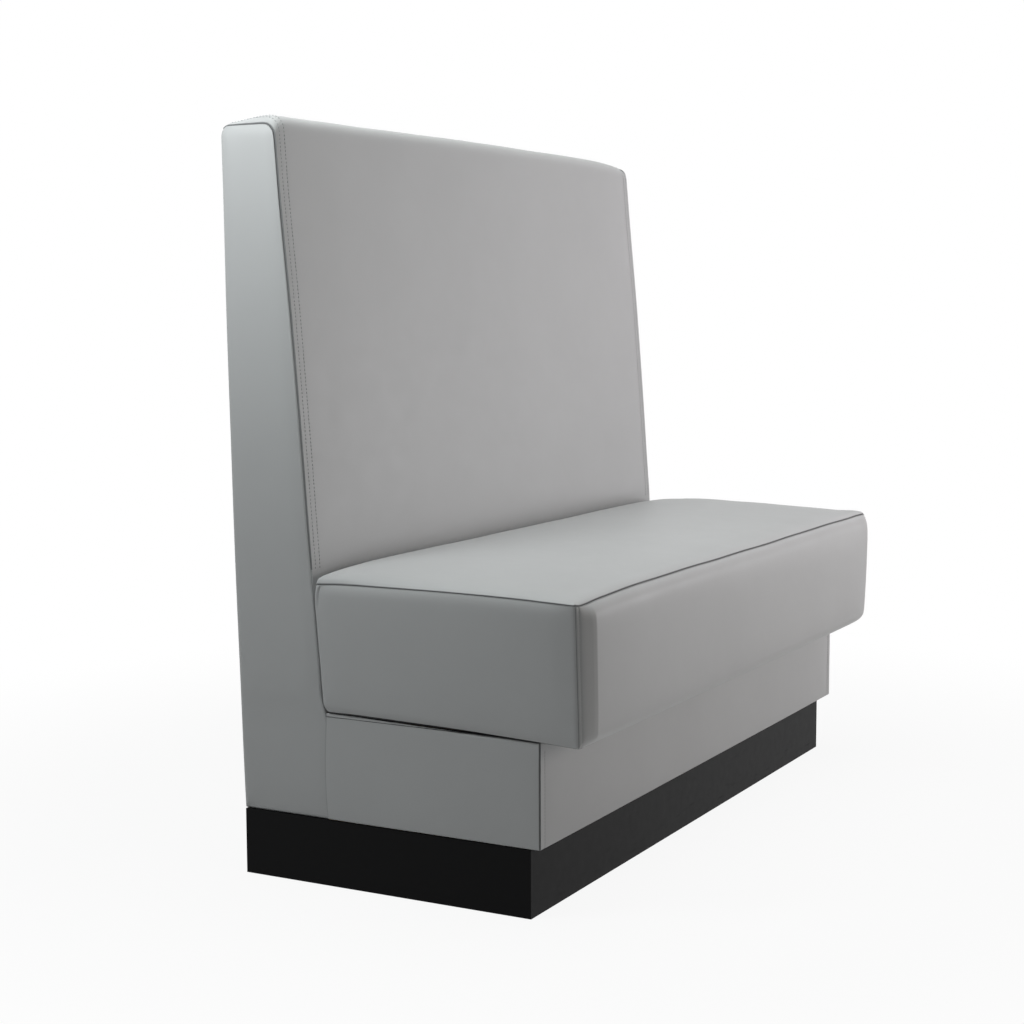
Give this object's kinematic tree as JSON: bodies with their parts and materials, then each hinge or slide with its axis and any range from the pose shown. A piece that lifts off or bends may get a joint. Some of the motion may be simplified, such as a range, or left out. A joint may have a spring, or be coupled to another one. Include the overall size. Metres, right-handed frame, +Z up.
{
  "type": "restaurant booth seating",
  "caption": "Upholstered restaurant booth bench: lift-out box cushion on a padded base and black plinth, with a tall leaning padded back.",
  "frame": {"origin": "centre of the footprint's bounding box, on the floor", "axes": "+X along the bench, to the right seen from the front, +Y towards the rear, +Z up"},
  "size_m": [1.227, 0.6052, 1.132],
  "materials": {
    "black_laminate": "satin black laminate on board",
    "plywood": "sanded, unfinished",
    "softwood": "planed, unfinished",
    "hardboard": "smooth one side",
    "grey_vinyl": "light grey upholstery vinyl, fine grain, satin",
    "foam": "open-cell cut foam",
    "wadding": "soft fibre",
    "black_lining": "thin black lining cloth",
    "zinc_steel": "bright zinc plate",
    "nylon": "moulded, natural",
    "rubber": "matt"
  },
  "bodies": {
    "booth": {"back_bottom_rail": "plywood", "back_end_padding": "wadding", "back_face_board": "plywood", "back_front_foam": "foam", "back_joining_rail": "plywood", "back_left_cover": "grey_vinyl", "back_left_end_board": "plywood", "back_middle_rail": "plywood", "back_ribs": "plywood", "back_right_cover": "grey_vinyl", "back_right_end_board": "plywood", "back_top_foam": "foam", "back_top_rail": "plywood", "back_wrap_cover": "grey_vinyl", "base_battens": "softwood", "base_fixing_screws": "zinc_steel", "base_front_board": "plywood", "base_left_board": "plywood", "base_rear_board": "plywood", "base_rest_pads": "rubber", "base_ribs": "plywood", "base_right_board": "plywood", "joining_bolts": "zinc_steel", "joining_nuts": "zinc_steel", "joining_washers": "zinc_steel", "outside_back_board": "hardboard", "outside_back_cover": "grey_vinyl", "plinth_corner_blocks": "softwood", "plinth_cross_boards": "plywood", "plinth_front_board": "black_laminate", "plinth_left_end_board": "black_laminate", "plinth_rear_board": "black_laminate", "plinth_right_end_board": "black_laminate", "plinth_screws": "zinc_steel", "skirt_front_cover": "grey_vinyl", "skirt_left_cover": "grey_vinyl", "skirt_padding": "wadding", "skirt_right_cover": "grey_vinyl"},
    "seat": {"seat_bottom_board": "plywood", "seat_deck": "plywood", "seat_edge_padding": "wadding", "seat_end_rails": "plywood", "seat_foam": "foam", "seat_front_boxing": "grey_vinyl", "seat_front_rail": "plywood", "seat_left_boxing": "grey_vinyl", "seat_pegs": "nylon", "seat_rear_boxing": "grey_vinyl", "seat_rear_rail": "plywood", "seat_ribs": "plywood", "seat_right_boxing": "grey_vinyl", "seat_top_cover": "grey_vinyl", "seat_underlining": "black_lining"}
  },
  "joints": [
    {"name": "seat_lift_off", "type": "slide", "parent": "booth", "child": "seat", "axis": [0, 0, 1], "range_m": [0, 0.3]}
  ]
}
